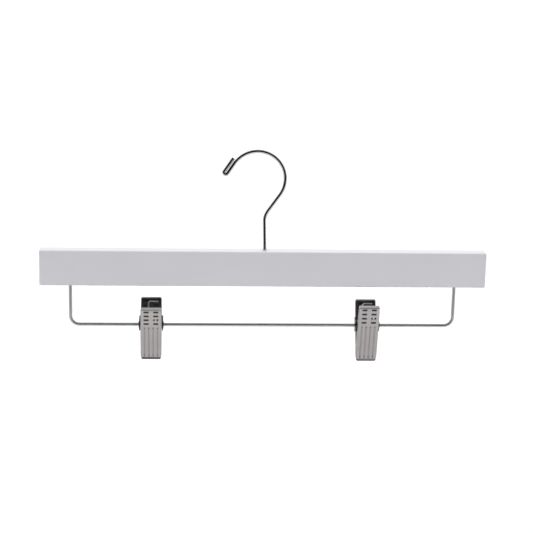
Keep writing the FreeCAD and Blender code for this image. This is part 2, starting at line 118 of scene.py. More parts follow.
# Jaw pads
pad_width = 0.011
pad_length = 0.0105
pad_toe_gap = 0.0016
pad_gap = 0.0001
pad_hollow_count = 5
pad_hollow_pitch = 0.0019
pad_hollow_depth = 0.00035
pad_corner_power = 9

# Mesh counts
wire_sides = 40
arc_steps = 20
hook_arc_steps = 120
coil_steps = 320
edge_steps = 5
pad_rings = 36
pad_sides = 160
sharp_angle = math.radians(40)

X_AXIS = np.array([1.0, 0.0, 0.0])
Y_AXIS = np.array([0.0, 1.0, 0.0])
Z_AXIS = np.array([0.0, 0.0, 1.0])


def unit(vectors):
    """Each vector divided by its length."""
    return vectors / np.linalg.norm(vectors, axis=-1, keepdims=True)


def bent_line(corners, radii):
    """Straight runs through the corners with a tangent arc at each inner one.

    A point of an arc is its start, plus radius times the sine of the angle turned along the run that
    comes in, plus radius times one minus its cosine towards the centre of the bend."""
    corners = np.array(corners, float)
    radii = np.array(radii, float)[:, None]
    along_in = unit(corners[1:-1] - corners[:-2])
    along_out = unit(corners[2:] - corners[1:-1])
    turn = np.arccos((along_in * along_out).sum(1, keepdims=True))
    start = corners[1:-1] - along_in * radii * np.tan(turn / 2)
    inwards = unit(along_out - along_in * np.cos(turn))
    angle = (turn * np.linspace(0, 1, arc_steps))[..., None]
    arcs = start[:, None] + radii[:, None] * (
        np.sin(angle) * along_in[:, None] + (1 - np.cos(angle)) * inwards[:, None]
    )
    return np.concatenate([corners[:1], arcs.reshape(-1, 3), corners[-1:]])


def headings(centres):
    """The direction of a line at each of its points: the mean of the steps before and after it."""
    step = unit(np.diff(centres, axis=0))
    return unit(np.concatenate([step[:1], step[:-1] + step[1:], step[-1:]]))


def wire_with_edges(centres, radius, edge):
    """A line and the radius along it, with a quarter circle as wide as edge at the rims of a cut wire."""
    angle = np.linspace(0, math.pi / 2, edge_steps)
    inset = edge * (1 - np.cos(angle))[:, None]
    rim = radius - edge + edge * np.sin(angle)
    first = centres[0] + unit(centres[1] - centres[0]) * inset
    last = centres[-1] + unit(centres[-2] - centres[-1]) * inset[::-1]
    line = np.concatenate([first, centres[1:-1], last])
    radii = np.concatenate([rim, np.full(len(centres) - 2, radius), rim[::-1]])
    return line, radii


def tube_rings(centres, radii, across):
    """Rings round a line: centre + radius (cos a across + sin a up), up square to line and across."""
    up = np.cross(headings(centres), across)
    angle = np.linspace(0, 2 * math.pi, wire_sides, endpoint=False)[None, :, None]
    return centres[:, None] + radii[:, None, None] * (
        np.cos(angle) * across[:, None] + np.sin(angle) * up[:, None]
    )


def skin(name, rings):
    """A closed mesh over rings of points, an array of (ring, side, xyz), with a pole at each end.

    Its UV runs from 0 to 1 round a ring, and in metres along the middles of the rings."""
    count, sides = rings.shape[:2]
    middles = rings.mean(1)
    travel = np.concatenate([[0], np.linalg.norm(np.diff(middles, axis=0), axis=1).cumsum()])
    points = np.concatenate([rings.reshape(-1, 3), middles[:1], middles[-1:]])
    ring, side = [index.ravel() for index in np.mgrid[: count - 1, :sides]]
    after = (side + 1) % sides
    here = ring * sides
    quads = np.stack([here + side, here + after, here + sides + after, here + sides + side], 1)
    edge = np.arange(sides)
    edge_after = (edge + 1) % sides
    first_pole = count * sides
    last_ring = (count - 1) * sides
    first_fan = np.stack([np.full(sides, first_pole), edge_after, edge], 1)
    last_fan = np.stack([np.full(sides, first_pole + 1), last_ring + edge, last_ring + edge_after], 1)
    mesh = bpy.data.meshes.new(name)
    mesh.from_pydata(points.tolist(), [], quads.tolist() + first_fan.tolist() + last_fan.tolist())
    low, high = travel[ring], travel[ring + 1]
    quad_u = np.stack([side, side + 1, side + 1, side], 1) / sides
    quad_v = np.stack([low, low, high, high], 1)
    fans = [[edge + 0.5, edge + 1, edge], [edge + 0.5, edge, edge + 1]]
    fan_u = np.stack(fans).transpose(0, 2, 1) / sides
    fan_v = np.repeat([[0, 0, 0], [travel[-1]] * 3], sides, axis=0)
    u = np.concatenate([quad_u.ravel(), fan_u.ravel()])
    v = np.concatenate([quad_v.ravel(), fan_v.ravel()])
    mesh.uv_layers.new(name="along_wire").data.foreach_set("uv", np.stack([u, v], 1).ravel())
    mesh.polygons.foreach_set("use_smooth", np.ones(len(mesh.polygons), bool))
    mesh.set_sharp_from_angle(angle=sharp_angle)
    piece = bpy.data.objects.new(name, mesh)
    bpy.context.scene.collection.objects.link(piece)
    return piece


def front_view(x, z):
    """A point of the hanger's middle plane."""
    return np.array([x, 0.0, z])


def hook_line():
    """The centreline of the hook: shank, neck, large arc, tip and the end folded back along it."""
    foot = front_view(0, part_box("swivel_hook")[0].z)
    centre = front_view(-hook_centre_offset, bar_high[2] + hook_centre_rise)
    lean_point = front_view(0, bar_high[2] + hook_lean_rise)
    lean = front_view(-math.sin(hook_lean_angle), math.cos(hook_lean_angle))
    neck = front_view(math.sin(hook_neck_angle), math.cos(hook_neck_angle))
    arc_start = centre + front_view(neck[2], -neck[0]) * hook_bend_radius
    away = arc_start - lean_point
    neck_run = (away[0] * lean[2] - away[2] * lean[0]) / math.sin(hook_neck_angle + hook_lean_angle)
    shank = bent_line(
        [foot, lean_point, arc_start - neck * neck_run, arc_start], [hook_lean_radius, hook_neck_radius]
    )
    angle = np.linspace(-hook_neck_angle, math.pi - hook_tip_angle, hook_arc_steps)[:, None]
    arc = centre + hook_bend_radius * (np.cos(angle) * X_AXIS + np.sin(angle) * Z_AXIS)
    tip = front_view(-math.sin(hook_tip_angle), -math.cos(hook_tip_angle))
    outwards = front_view(tip[2], -tip[0])
    fold_radius = (hook_wire + hook_fold_gap) / 2
    angle = np.linspace(0, math.pi, 2 * arc_steps)[:, None]
    bend = (1 - np.cos(angle)) * outwards + np.sin(angle) * tip
    fold = arc[-1] + tip * hook_tip_run + fold_radius * bend
    end = fold[-1] - tip * hook_return_run
    return np.concatenate([shank[:-1], arc, fold, [end]])


def make_hook():
    """A round wire along the hook's line, with an upset head at its foot and a cut, rounded end."""
    line, radii = wire_with_edges(hook_line(), hook_wire / 2, hook_end_edge)
    line, radii = line[edge_steps:], radii[edge_steps:]
    foot = front_view(0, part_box("swivel_hook")[0].z)
    angle = np.linspace(0, math.pi / 2, edge_steps)
    shoulder = [hook_head_height - hook_head_step, hook_head_height]
    rise = np.concatenate([hook_head_edge * (1 - np.cos(angle)), shoulder])
    rim = hook_head_radius - hook_head_edge * (1 - np.sin(angle))
    head_radii = np.concatenate([rim, [hook_head_radius, hook_wire / 2]])
    centres = np.concatenate([foot + rise[:, None] * Z_AXIS, line])
    across = unit(np.cross(headings(centres), Y_AXIS))
    hook = skin("hook_wire", tube_rings(centres, np.concatenate([head_radii, radii]), across))
    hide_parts("swivel_hook")
    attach(hook, "hook")
    return hook


def make_rod():
    """A round wire bent to a wide U, with its ends up in the bar."""
    low, high = [np.array(corner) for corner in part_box("clip_rod")]
    left, right = low[0] + rod_wire / 2, high[0] - rod_wire / 2
    level = low[2] + rod_wire / 2
    corners = [(left, high[2]), (left, level), (right, level), (right, high[2])]
    bent = bent_line([front_view(x, z) for x, z in corners], [rod_bend_radius] * 2)
    line, radii = wire_with_edges(bent, rod_wire / 2, rod_end_edge)
    across = unit(np.cross(headings(line), Y_AXIS))
    rod = skin("rod_wire", tube_rings(line, radii, across))
    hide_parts("clip_rod")
    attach(rod, "bar")
    return rod


# Cross-section of a clip in its own frame, with its pivot at zero. The front jaw's plate runs from lip to
# tip, and the back jaw is its mirror image.
lip_corner = np.array([0.0, -lever_spread / 2, lever_rise])
tip_corner = np.array([0.0, -tip_spread / 2, -jaw_reach])
plate_run = np.linalg.norm(tip_corner - lip_corner)
down_plate = unit(tip_corner - lip_corner)
into_clip = np.cross(X_AXIS, down_plate)
to_back = np.array([1, -1, 1])
half_turn = np.array([-1, -1, 1])


def on_plate(run, depth):
    """The point a run down the plate from the lip bend and a depth in from its outer face."""
    return lip_corner + down_plate * run + into_clip * depth


def pivot_of(side):
    """Where a clip's pivot lies on the rod."""
    return np.array(next(j["pos_m"] for j in frame["joints"] if j["name"] == f"{side}_clip_swing"))


def place_on_rod(points, side):
    """Points of a clip's own frame, swung about the rod and moved to the clip's place on it."""
    cos, sin = math.cos(clip_swing[side]), math.sin(clip_swing[side])
    swing = np.array([[1, 0, 0], [0, cos, -sin], [0, sin, cos]])
    return points @ swing.T + pivot_of(side)


def spring_line():
    """A jaw spring's centreline in the clip's own frame, and how many of its points precede its foot.

    The front leg starts in the pierced slot and touches the coil. The coil's angle grows evenly, and it
    moves along the rod by a pitch each turn, eased in and out over a quarter turn. The back leg rises,
    and its foot turns along the rod."""
    depth = sheet + spring_leg_gap + spring_wire / 2
    slot = on_plate(spring_slot_run, 0)
    front_corner = on_plate(spring_slot_run, depth + spring_bend_radius)
    run = (lever_rise - spring_leg_drop - on_plate(0, depth)[2]) / down_plate[2]
    back_corner = on_plate(run, depth) * to_back

    def bearing(corner, way):
        """The angle at which a straight leg from a corner touches the coil, on one side or the other."""
        half_view = math.acos(spring_coil_radius / np.linalg.norm(corner))
        return math.atan2(corner[2], corner[1]) + way * half_view

    begin = bearing(front_corner, 1)
    total = (bearing(back_corner, -1) - begin) % (2 * math.pi) + spring_full_turns * 2 * math.pi
    turned = np.linspace(0, total, coil_steps)
    rate = -(spring_wire + spring_turn_gap) / (2 * math.pi)
    eased_in = np.minimum(turned, spring_ease) ** 2 / (2 * spring_ease)
    eased_out = np.maximum(turned - total + spring_ease, 0) ** 2 / (2 * spring_ease)
    steady = np.maximum(turned - spring_ease, 0)
    place = spring_slot_place + rate * (eased_in + steady - eased_out)
    angle = begin + turned
    coil = np.stack([place, spring_coil_radius * np.cos(angle), spring_coil_radius * np.sin(angle)], 1)
    beside = X_AXIS * place[0]
    front_leg = bent_line([slot + beside, front_corner + beside, coil[0]], [spring_bend_radius])
    heel = back_corner + X_AXIS * place[-1]
    back_leg = bent_line([coil[-1], heel, heel + X_AXIS * spring_foot_run], [spring_bend_radius])
    line = np.concatenate([front_leg[:-1], coil, back_leg[1:]])
    return line, len(line) - arc_steps


def make_spring(side):
    """The torsion spring of a clip, as a fixed wire at rest. In the real clip its coil winds up between
    the two jaws as they open.
    """
    line, foot_start = spring_line()
    centres, radii = wire_with_edges(line, spring_wire / 2, spring_end_edge)
    foot_start += edge_steps - 1
    across = np.cross(headings(centres), X_AXIS)
    # The foot runs along the rod, so it keeps the direction that the leg has
    across[foot_start:] = across[foot_start - 2]
    rings = tube_rings(centres, radii, unit(across))
    spring = skin(f"{side}_spring_wire", place_on_rod(rings, side))
    reach = spring_coil_radius * Y_AXIS
    tuple(place_on_rod(reach, side))
    tuple(place_on_rod(-reach, side))
    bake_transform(spring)
    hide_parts(f"{side}_jaw_spring")
    return spring


def rounded_square(angle):
    """A square of half-width 1 with soft corners: the unit circle over the power mean of its sides."""
    cos, sin = np.cos(angle), np.sin(angle)
    size = (np.abs(cos) ** pad_corner_power + np.abs(sin) ** pad_corner_power) ** (1 / pad_corner_power)
    return cos / size, sin / size


def pad_rings_of_front_jaw():
    """The cushion of the front jaw: a rounded block with its back on the plate and a ribbed face.

    Each ring is a soft square in depth and height, and the same soft square draws it in to a pole at both
    ends of the width. Its depth goes from the plate's inner face to the closing face, less the hollows
    between the ribs, whose depth goes as the square of a raised cosine."""
    shrink, along = rounded_square(np.linspace(-math.pi / 2, math.pi / 2, pad_rings + 2)[1:-1, None])
    depth, height = rounded_square(np.linspace(0, 2 * math.pi, pad_sides, endpoint=False)[None])
    foot = on_plate(plate_run - pad_toe_gap, sheet)
    top = on_plate(plate_run - pad_toe_gap - pad_length, sheet)
    share = (1 + height * shrink) / 2
    z = foot[2] + (top[2] - foot[2]) * share
    back = foot[1] + (top[1] - foot[1]) * share
    from_middle = z - (foot[2] + top[2]) / 2
    hollow = ((1 + np.cos(2 * math.pi * from_middle / pad_hollow_pitch)) / 2) ** 2
    ribbed = np.abs(from_middle) < pad_hollow_pitch * pad_hollow_count / 2
    face = -pad_gap / 2 - pad_hollow_depth * np.where(ribbed, hollow, 0)
    y = back + (face - back) * (1 + depth * shrink) / 2
    x = np.broadcast_to(along * pad_width / 2, y.shape)
    return np.stack([x, y, z], -1)


def make_pad(side, end):
    """The vinyl cushion of one jaw of a clip. The back one is the front one turned half round."""
    rings = pad_rings_of_front_jaw()
    if end == "back":
        rings = rings * half_turn
    pad = skin(f"{side}_{end}_cushion", place_on_rod(rings, side))
    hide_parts(f"{side}_{end}_pad")
    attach(pad, f"{side}_clip_{end}")
    return pad


class Field:
    """A socket of a node tree that can stand in a sum: each operation adds a Math node."""

    def __init__(self, tree, socket=None):
        self.tree = tree
        self.socket = socket

    def node(self, kind, settings=(), inputs=(), output=0):
        """Any node: its settings come first, then values or links for its sockets. Gives one output."""
        made = self.tree.nodes.new(kind)
        for name, value in dict(settings).items():
            setattr(made, name, value)
        for name, value in dict(inputs).items():
            if isinstance(value, Field):
                self.tree.links.new(value.socket, made.inputs[name])
            else:
                made.inputs[name].default_value = value
        return Field(self.tree, made.outputs[output] if made.outputs else None)

    def math(self, operation, first, second):
        """A Math node on two fields or numbers."""
        return self.node("ShaderNodeMath", {"operation": operation}, {0: first, 1: second})

    def __add__(self, other):
        return self.math("ADD", self, other)

    def __radd__(self, other):
        return self.math("ADD", other, self)

    def __sub__(self, other):
        return self.math("SUBTRACT", self, other)

    def __rsub__(self, other):
        return self.math("SUBTRACT", other, self)

    def __mul__(self, other):
        return self.math("MULTIPLY", self, other)

    def __rmul__(self, other):
        return self.math("MULTIPLY", other, self)

    def __abs__(self):
        return self.math("ABSOLUTE", self, 0.0)


def object_place(start):
    """The place of a surface point in the hanger's own frame."""
    return start.node("ShaderNodeTexCoord", output="Object")


def stretched(place, scale):
    """A place with each of its axes scaled by itself."""
    return place.node("ShaderNodeVectorMath", {"operation": "MULTIPLY"}, {0: place, 1: scale})


def noise(place, scale=1.0, detail=3.0, roughness=0.5):
    """Soft noise between 0 and 1, with features of about one over scale."""
    inputs = {"Vector": place, "Scale": scale, "Detail": detail, "Roughness": roughness}
    return place.node("ShaderNodeTexNoise", {"noise_dimensions": "3D"}, inputs)


def ramp(value, low, high):
    """A smooth step from 0 to 1, as a value goes from low to high."""
    inputs = {"Value": value, "From Min": low, "From Max": high}
    return value.node("ShaderNodeMapRange", {"interpolation_type": "SMOOTHSTEP"}, inputs)


def blend_colours(share, first, second):
    """The first colour at share 0 and the second at share 1."""
    inputs = {0: share, 6: first, 7: second}
    return share.node("ShaderNodeMix", {"data_type": "RGBA", "clamp_factor": True}, inputs, output=2)


def bumped(height, distance, strength):
    """The normal of a surface raised by a height between 0 and 1, times a distance in metres."""
    inputs = {"Height": height, "Distance": distance, "Strength": strength}
    return height.node("ShaderNodeBump", {}, inputs, "Normal")


def surface(name, fixed, varying):
    """A material: fixed values go straight to the shader's sockets, and varying fields are linked in."""
    material = bpy.data.materials.new(name)
    material.use_nodes = True
    tree = material.node_tree
    shader = tree.nodes["Principled BSDF"]
    for socket, value in fixed.items():
        shader.inputs[socket].default_value = value
    for socket, field in varying(Field(tree)).items():
        tree.links.new(field.socket, shader.inputs[socket])
    return material


def coordinate(place, axis):
    """One of the three coordinates of a place."""
    return place.node("ShaderNodeSeparateXYZ", {}, {0: place}, axis)


def along(place, direction):
    """How far a place lies along a direction."""
    inputs = {0: place, 1: direction}
    return place.node("ShaderNodeVectorMath", {"operation": "DOT_PRODUCT"}, inputs, "Value")


def between(value, low, high, soft):
    """1 where a value lies between low and high, and 0 beyond them, with soft edges."""
    return ramp(value, low - soft, low + soft) * ramp(value, high + soft, high - soft)


# White lacquer of the bar. Here and below, a scale is the number of features in a metre.
lacquer_grain_scale = (14.0, 420.0, 420.0)
lacquer_peel_scale = 900.0
lacquer_cloud_scale = 22.0
lacquer_grain_share = 0.25
lacquer_shade = (0.775, 0.768, 0.815, 1)
lacquer_light = (0.815, 0.806, 0.845, 1)
lacquer_worn = (0.80, 0.775, 0.755, 1)
lacquer_wear = 0.35
lacquer_wear_start = 0.0022
lacquer_wear_end = 0.0002
lacquer_roughness = 0.34
lacquer_cloud_roughness = 0.12
lacquer_grain_roughness = 0.06
lacquer_grain_relief_share = 0.55
lacquer_relief = 0.00006
lacquer_relief_strength = 0.5
lacquer_coat = {"Coat Weight": 0.25, "Coat Roughness": 0.18}


def white_lacquer(start):
    """Brushed white lacquer on fine-grained wood: long faint grain, a soft orange peel and thin edges."""
    place = object_place(start)
    grain = noise(stretched(place, lacquer_grain_scale), detail=4.0, roughness=0.6)
    peel = noise(place, lacquer_peel_scale, detail=2.0)
    cloud = noise(place, lacquer_cloud_scale, detail=2.0)
    y = coordinate(place, "Y")
    z = coordinate(place, "Z")
    middle = (bar_low[2] + bar_high[2]) / 2
    half_height = bar_high[2] - middle
    near_side = ramp(abs(y), bar_high[1] - lacquer_wear_start, bar_high[1] - lacquer_wear_end)
    near_top = ramp(abs(z - middle), half_height - lacquer_wear_start, half_height - lacquer_wear_end)
    mixed = lacquer_grain_share * grain + (1 - lacquer_grain_share) * cloud
    tone = blend_colours(mixed, lacquer_shade, lacquer_light)
    relief = lacquer_grain_relief_share * grain + (1 - lacquer_grain_relief_share) * peel
    dulled = lacquer_cloud_roughness * cloud + lacquer_grain_roughness * grain
    return {
        "Base Color": blend_colours(lacquer_wear * near_side * near_top, tone, lacquer_worn),
        "Roughness": lacquer_roughness + dulled,
        "Normal": bumped(relief, lacquer_relief, lacquer_relief_strength),
    }


def along_wire(start, scale):
    """Noise drawn out along a wire, from its own map: round the wire and along it."""
    place = start.node("ShaderNodeUVMap", {"uv_map": "along_wire"})
    return noise(stretched(place, scale), detail=4.0, roughness=0.6)


# Bright chrome of the hook
chrome_line_scale = (26.0, 40.0, 0.0)
chrome_haze_scale = 160.0
chrome_pit_scale = 2600.0
chrome_pit_low = 0.66
chrome_pit_high = 0.74
chrome_shade = (0.47, 0.47, 0.48, 1)
chrome_light = (0.56, 0.56, 0.58, 1)
chrome_roughness = 0.035
chrome_haze_roughness = 0.06
chrome_line_roughness = 0.05
chrome_pit_roughness = 0.15
chrome_pit_depth = 0.4
chrome_relief = 0.000012
chrome_relief_strength = 0.35


def chrome(start):
    """Bright plating on drawn wire: faint lines along it, small pits and a slight haze."""
    place = object_place(start)
    lines = along_wire(start, chrome_line_scale)
    haze = noise(place, chrome_haze_scale)
    pits = ramp(noise(place, chrome_pit_scale, detail=1.0), chrome_pit_low, chrome_pit_high)
    dulled = chrome_haze_roughness * haze + chrome_line_roughness * lines + chrome_pit_roughness * pits
    return {
        "Base Color": blend_colours(haze, chrome_shade, chrome_light),
        "Roughness": chrome_roughness + dulled,
        "Normal": bumped(lines - chrome_pit_depth * pits, chrome_relief, chrome_relief_strength),
    }


# Dull chrome of the rod
dull_line_scale = (30.0, 30.0, 0.0)
dull_haze_scale = 120.0
dull_shade = (0.60, 0.60, 0.605, 1)
dull_light = (0.68, 0.68, 0.685, 1)
dull_roughness = 0.46
dull_haze_roughness = 0.08
dull_line_roughness = 0.08
dull_relief = 0.00002
dull_relief_strength = 0.4


def dull_chrome(start):
    """The rod's plainer plating: the same drawn lines, with a broader sheen."""
    lines = along_wire(start, dull_line_scale)
    haze = noise(object_place(start), dull_haze_scale)
    return {
        "Base Color": blend_colours(haze, dull_shade, dull_light),
        "Roughness": dull_roughness + dull_haze_roughness * haze + dull_line_roughness * lines,
        "Normal": bumped(lines, dull_relief, dull_relief_strength),
    }


# Satin nickel of the jaws: colours, then how much of each shows
nickel_line_scale = (5200.0, 5200.0, 150.0)
nickel_cloud_scale = 140.0
nickel_mark_scale = (900.0, 900.0, 500.0)
nickel_mark_low = 0.62
nickel_mark_high = 0.72
nickel_shade = (0.375, 0.356, 0.353, 1)
nickel_light = (0.440, 0.419, 0.415, 1)
# Painted light: a lighter tone up towards the lever
nickel_painted_lever_light = (0.470, 0.449, 0.446, 1)
nickel_marked = (0.27, 0.255, 0.25, 1)
# Painted shade on the plate's inner face
nickel_painted_inside_shade = (0.11, 0.114, 0.12, 1)
# Painted highlight on the lip
nickel_painted_lip_highlight = (0.76, 0.745, 0.74, 1)
# Painted shade for the grooves, slots, side bends and ears, and painted dark reflection at the toe
nickel_painted_shade = (0.05, 0.048, 0.047, 1)
mark_amount = 0.25
painted_inside_shade_amount = 0.88
painted_lip_highlight_amount = 0.9
# How strong the painted shade is in each place, and the painted dark reflection at the toe
groove_shade_least = 0.132
groove_shade_cloud = 0.176
groove_end_shade = 0.5
side_bend_shade = 0.22
slot_shade = 0.9
toe_shade = {"left": 1.0, "right": 0.65}
ear_shade = 0.9
nickel_roughness = 0.27
nickel_line_roughness = 0.10
nickel_cloud_roughness = 0.06
nickel_mark_roughness = 0.05
nickel_groove_roughness = 0.1
nickel_lip_roughness = 0.2
nickel_relief = 0.00002
nickel_relief_strength = 0.35

# Where painted light and painted shade lie on the jaws: shares of a size, and soft edges
painted_light_end_share = 0.75
groove_floor_share = 0.125
groove_soft = 0.0008
groove_end_length = 0.0012
groove_end_soft = 0.0004
slot_outer_share = 0.55
slot_inner_share = 0.40
slot_soft = 0.0002
toe_full_share = 0.6
ear_soft = 0.0003
inside_start_share = 0.4
inside_full_share = 0.9
inside_soft = 0.0006


def satin_nickel(side, end):
    """Pressed sheet with a satin nickel finish, for one jaw of a clip.

    Fine lines run down it, with a warm cloud and small marks. Painted light makes it lighter up towards
    the lever, and a painted highlight lights the lip. Painted shade darkens its inner face, the grooves,
    slots, side bends and ears, and a painted dark reflection darkens the toe."""
    pivot = pivot_of(side)
    turned = 1 if end == "front" else to_back
    inwards = tuple(place_on_rod(into_clip * turned, side) - pivot)
    outer_face = float(place_on_rod(lip_corner * turned, side) @ inwards)

    def height(run):
        """How high a run down the plate's outer face lies."""
        return float(place_on_rod(on_plate(run, 0) * turned, side)[2])

    def finish(start):
        """The fields of the finish: noise, then masks of painted light and painted shade, then colour and
        sheen.
        """
        place = object_place(start)
        z = coordinate(place, "Z")
        aside = abs(coordinate(place, "X") - float(pivot[0]))
        lines = noise(stretched(place, nickel_line_scale), roughness=0.6)
        cloud = noise(place, nickel_cloud_scale)
        marks = noise(stretched(place, nickel_mark_scale), detail=2.0)
        marks = ramp(marks, nickel_mark_low, nickel_mark_high)

        # Painted shade in the grooves and at their ends
        from_groove = abs(abs(aside - groove_pitch) - groove_pitch / 2)
        groove = ramp(from_groove, groove_width / 2, groove_width * groove_floor_share)
        top, bottom = height(groove_top), height(groove_bottom)
        inside_groove = groove * between(z, bottom, top, groove_soft)
        top_end = between(z, top - groove_end_length, top, groove_end_soft)
        bottom_end = between(z, bottom, bottom + groove_end_length, groove_end_soft)
        groove_end = groove * (top_end + bottom_end)
        # Painted shade in the slots
        slot_edges = (grip_width * slot_outer_share, grip_width * slot_inner_share)
        slot_row = 0.0
        for run in grip_runs:
            slot_row = slot_row + ramp(abs(z - height(run)), *slot_edges)
        slot = between(aside, grip_near, grip_far, slot_soft) * slot_row
        # Painted dark reflection at the toe
        toe = ramp(z, height(plate_run - toe_band), height(plate_run - toe_band * toe_full_share))
        # Painted shade on the ears
        ear = ramp(aside, ear_start, ear_start + ear_soft)
        # Painted shade on the side bends
        side_bend = ramp(aside, side_bend_start, side_bend_end)
        # Painted light: the plate is lighter up towards the lever
        painted_lever_light = ramp(z, height(plate_run * painted_light_end_share), height(0.0))
        # Painted highlight on the lip
        lip = ramp(z, height(lip_edge), height(0.0))
        # Painted shade on the plate's inner face
        depth = along(place, inwards) - outer_face
        in_sheet = ramp(depth, sheet * inside_start_share, sheet * inside_full_share)
        inside = in_sheet * ramp(aside, ear_start, ear_start - inside_soft)

        tone = blend_colours(painted_lever_light, blend_colours(cloud, nickel_shade, nickel_light), nickel_painted_lever_light)
        tone = blend_colours(mark_amount * marks, tone, nickel_marked)
        tone = blend_colours(painted_inside_shade_amount * inside, tone, nickel_painted_inside_shade)
        tone = blend_colours(painted_lip_highlight_amount * lip, tone, nickel_painted_lip_highlight)
        # Painted shade over the tone, in the grooves, slots, side bends, ears and toe
        groove_painted_shade = groove_shade_least + groove_shade_cloud * cloud
        painted_shade = groove_painted_shade * inside_groove + groove_end_shade * groove_end
        painted_shade = painted_shade + side_bend_shade * side_bend + slot_shade * slot + toe_shade[side] * toe
        painted_shade = painted_shade + ear_shade * ear
        dulled = nickel_line_roughness * lines + nickel_cloud_roughness * cloud
        dulled = dulled + nickel_mark_roughness * marks + nickel_groove_roughness * inside_groove
        dulled = dulled + nickel_lip_roughness * lip
        return {
            "Base Color": blend_colours(painted_shade, tone, nickel_painted_shade),
            "Roughness": nickel_roughness + dulled,
            "Normal": bumped(lines, nickel_relief, nickel_relief_strength),
        }

    return finish


# Zinc plate of the rivets and the washer
zinc_spangle_scale = 900.0
zinc_cloud_scale = 500.0
zinc_spangle_share = 0.5
zinc_shade = (0.50, 0.50, 0.50, 1)
zinc_light = (0.64, 0.64, 0.65, 1)
zinc_roughness = 0.26
zinc_cloud_roughness = 0.12
zinc_spangle_roughness = 0.08
zinc_relief = 0.00002
zinc_relief_strength = 0.4


def zinc(start):
    """Zinc plate on the rivets and the washer: a fine spangle and a dull sheen."""
    place = object_place(start)
    inputs = {"Vector": place, "Scale": zinc_spangle_scale}
    patches = start.node("ShaderNodeTexVoronoi", {}, inputs, "Color")
    spangle = start.node("ShaderNodeSeparateColor", {}, {0: patches}, "Red")
    cloud = noise(place, zinc_cloud_scale)
    mixed = zinc_spangle_share * spangle + (1 - zinc_spangle_share) * cloud
    return {
        "Base Color": blend_colours(mixed, zinc_shade, zinc_light),
        "Roughness": zinc_roughness + zinc_cloud_roughness * cloud + zinc_spangle_roughness * spangle,
        "Normal": bumped(cloud, zinc_relief, zinc_relief_strength),
    }


# Drawn steel of the springs
steel_line_scale = (18.0, 60.0, 0.0)
steel_tint_scale = 260.0
steel_shade = (0.80, 0.80, 0.81, 1)
steel_light = (0.88, 0.88, 0.89, 1)
steel_roughness = 0.36
steel_line_roughness = 0.10
steel_tint_roughness = 0.06
steel_relief = 0.000015
steel_relief_strength = 0.4


def spring_steel(start):
    """Bright drawn spring wire: die lines along it and a faint oil tint."""
    lines = along_wire(start, steel_line_scale)
    tint = noise(object_place(start), steel_tint_scale, detail=2.0)
    return {
        "Base Color": blend_colours(tint, steel_shade, steel_light),
        "Roughness": steel_roughness + steel_line_roughness * lines + steel_tint_roughness * tint,
        "Normal": bumped(lines, steel_relief, steel_relief_strength),
    }


# Milky vinyl of the pads
vinyl_grain_scale = 3200.0
vinyl_cloud_scale = 180.0
vinyl_shade = (0.74, 0.73, 0.69, 1)
vinyl_light = (0.82, 0.81, 0.77, 1)
vinyl_roughness = 0.38
vinyl_grain_roughness = 0.12
vinyl_cloud_roughness = 0.08
vinyl_relief = 0.00003
vinyl_relief_strength = 0.5
vinyl_depth = {"Subsurface Weight": 0.15, "Subsurface Scale": 0.002}


def vinyl(start):
    """Milky soft vinyl: a fine moulded grain, a faint cloud and duller high spots."""
    place = object_place(start)
    grain = noise(place, vinyl_grain_scale, detail=2.0)
    cloud = noise(place, vinyl_cloud_scale)
    return {
        "Base Color": blend_colours(cloud, vinyl_shade, vinyl_light),
        "Roughness": vinyl_roughness + vinyl_grain_roughness * grain + vinyl_cloud_roughness * cloud,
        "Normal": bumped(grain, vinyl_relief, vinyl_relief_strength),
    }


metal = {"Metallic": 1.0}
# The nickel of the jaws is hazed, so it scatters a part of the light
hazy_metal = {"Metallic": 0.65}
finishes = {
    "lacquer": surface("white_lacquer", lacquer_coat, white_lacquer),
    "hook": surface("bright_chrome", metal, chrome),
    "rod": surface("dull_chrome", metal, dull_chrome),
    "rivet": surface("zinc_plate", metal, zinc),
    "spring": surface("spring_steel", metal, spring_steel),
    "cushion": surface("milky_vinyl", vinyl_depth, vinyl),
}


def dress(piece, finish):
    """Gives a piece one finish all over."""
    if not piece.material_slots:
        piece.data.materials.append(finish)
    for slot in piece.material_slots:
        slot.material = finish


dress(nodes["wooden_bar"], finishes["lacquer"])
dress(nodes["hook_washer"], finishes["rivet"])
dress(make_hook(), finishes["hook"])
dress(make_rod(), finishes["rod"])
for side in clip_swing:
    dress(nodes[f"{side}_pivot_tube"], finishes["rivet"])
    dress(make_spring(side), finishes["spring"])
    for end in ("front", "back"):
        nickel = surface(f"{side}_{end}_satin_nickel", hazy_metal, satin_nickel(side, end))
        dress(nodes[f"{side}_{end}_jaw"], nickel)
        dress(make_pad(side, end), finishes["cushion"])

# Stage: a pale floor, a soft sun, and a white room that is dark on the side the photograph was taken from
white = (1, 1, 1, 1)
floor_level = -0.40
floor_front = -0.75
floor_back = 4.0
floor_half_width = 4.0
floor_colour = (0.80, 0.80, 0.80, 1)
floor_lift = 0.26
backdrop_level = 1.0
room_level = 1.0
dark_side_level = 0.02
dark_side_elevation = math.radians(14)
dark_side_inner = math.cos(math.radians(57))
dark_side_outer = math.cos(math.radians(118))
sun_place = (-0.25, -1.0, 1.47)
sun_strength = 2.5
sun_softness = math.radians(35)

# Camera, as the photograph was taken
camera_azimuth = math.radians(-3.84)
camera_elevation = math.radians(13.26)
camera_roll = math.radians(1.26)
camera_distance = 1.153
camera_target = np.array([0.0018, 0.0, -0.0900])
focal_pixels = 1445
picture_pixels = 533
sensor_width = 36.0


def towards(azimuth, elevation):
    """The direction to a place in front of the hanger: azimuth to the right, elevation up."""
    flat = math.cos(elevation)
    return np.array([math.sin(azimuth) * flat, -math.cos(azimuth) * flat, math.sin(elevation)])


def ray_kinds(start):
    """Fields that are 1 for what the camera sees straight away, in gloss and through glass."""
    kinds = ("Is Camera Ray", "Is Glossy Ray", "Is Transmission Ray")
    return [start.node("ShaderNodeLightPath", output=kind) for kind in kinds]


